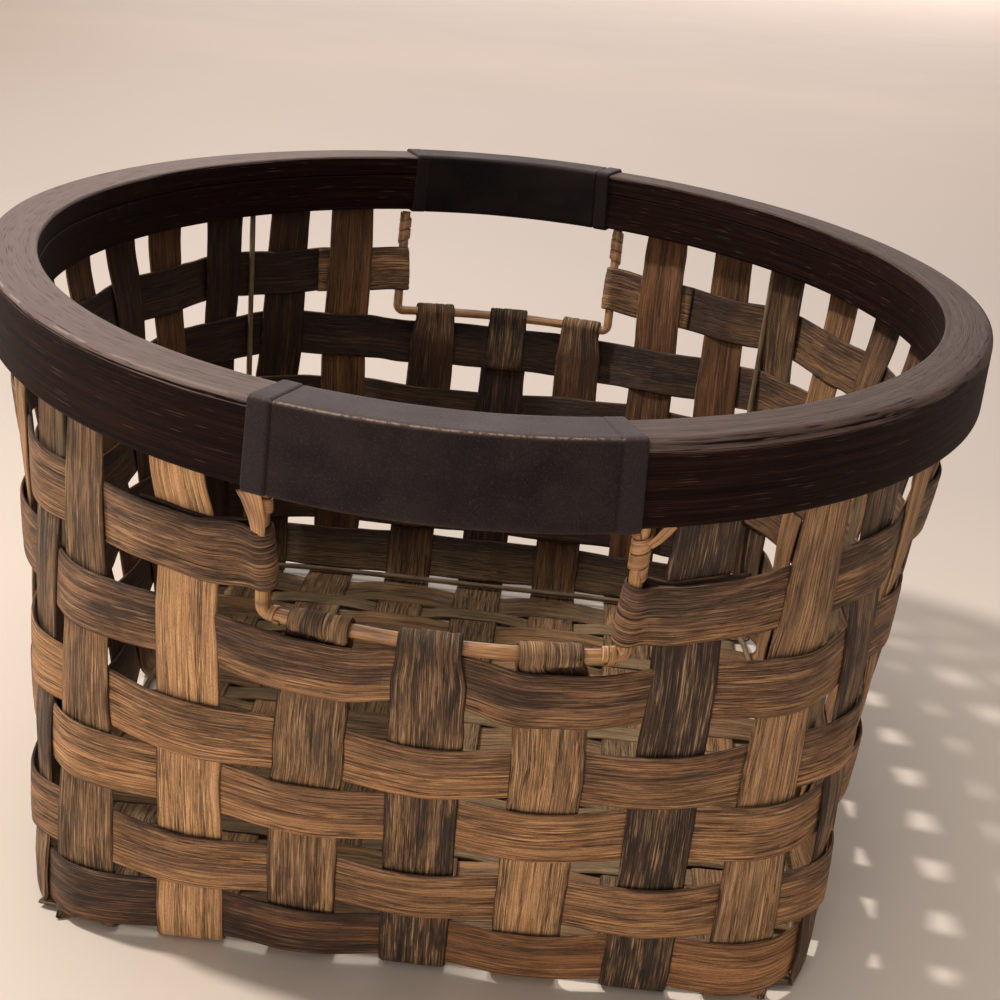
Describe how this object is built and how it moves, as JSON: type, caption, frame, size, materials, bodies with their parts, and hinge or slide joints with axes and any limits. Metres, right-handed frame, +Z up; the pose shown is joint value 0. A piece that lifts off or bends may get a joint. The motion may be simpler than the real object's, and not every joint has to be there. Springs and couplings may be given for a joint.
{
  "type": "woven storage basket",
  "caption": "Open storage basket of woven flat splints with a flared oval rim, leather-wrapped grips and a hand hole at the front and the back.",
  "frame": {"origin": "on the floor, under the middle of the base", "axes": "+Z up, -Y towards the front grip, +X to the right seen from the front"},
  "size_m": [0.3762, 0.4575, 0.2167],
  "materials": {
    "rim_wood": "dark stained, worn",
    "light_splint": "light stained",
    "dark_splint": "dark stained",
    "brown_weaver": "brown stained",
    "red_weaver": "reddish brown stained",
    "cane": "natural",
    "reed": "natural",
    "leather": "dark, soft sheen"
  },
  "bodies": {
    "root": {"front_grip_wrap": "leather", "front_hand_cane": "cane", "front_lashing_1": "cane", "front_lashing_2": "cane", "back_grip_wrap": "leather", "back_hand_cane": "cane", "back_lashing_1": "cane", "back_lashing_2": "cane", "rim_hoop": "rim_wood", "rim_inner_band": "rim_wood", "long_splint_1": "light_splint", "long_splint_2": "dark_splint", "long_splint_3": "light_splint", "long_splint_4": "dark_splint", "long_splint_5": "light_splint", "long_splint_6": "dark_splint", "long_splint_7": "light_splint", "cross_splint_1": "dark_splint", "cross_splint_2": "light_splint", "cross_splint_3": "dark_splint", "cross_splint_4": "light_splint", "cross_splint_5": "dark_splint", "cross_splint_6": "light_splint", "cross_splint_7": "dark_splint", "cross_splint_8": "light_splint", "cross_splint_9": "dark_splint", "base_filler_1": "light_splint", "base_filler_2": "light_splint", "base_filler_3": "light_splint", "base_filler_4": "light_splint", "base_filler_5": "light_splint", "base_filler_6": "light_splint", "base_filler_7": "light_splint", "base_filler_8": "light_splint", "weaver_row_1": "red_weaver", "weaver_row_2": "brown_weaver", "weaver_row_3": "red_weaver", "weaver_row_4": "brown_weaver", "weaver_row_5": "red_weaver", "top_weaver_left": "brown_weaver", "top_weaver_right": "brown_weaver", "base_hoop": "reed", "corner_post_front_left": "reed", "corner_post_front_right": "reed", "corner_post_back_left": "reed", "corner_post_back_right": "reed"}
  },
  "joints": []
}
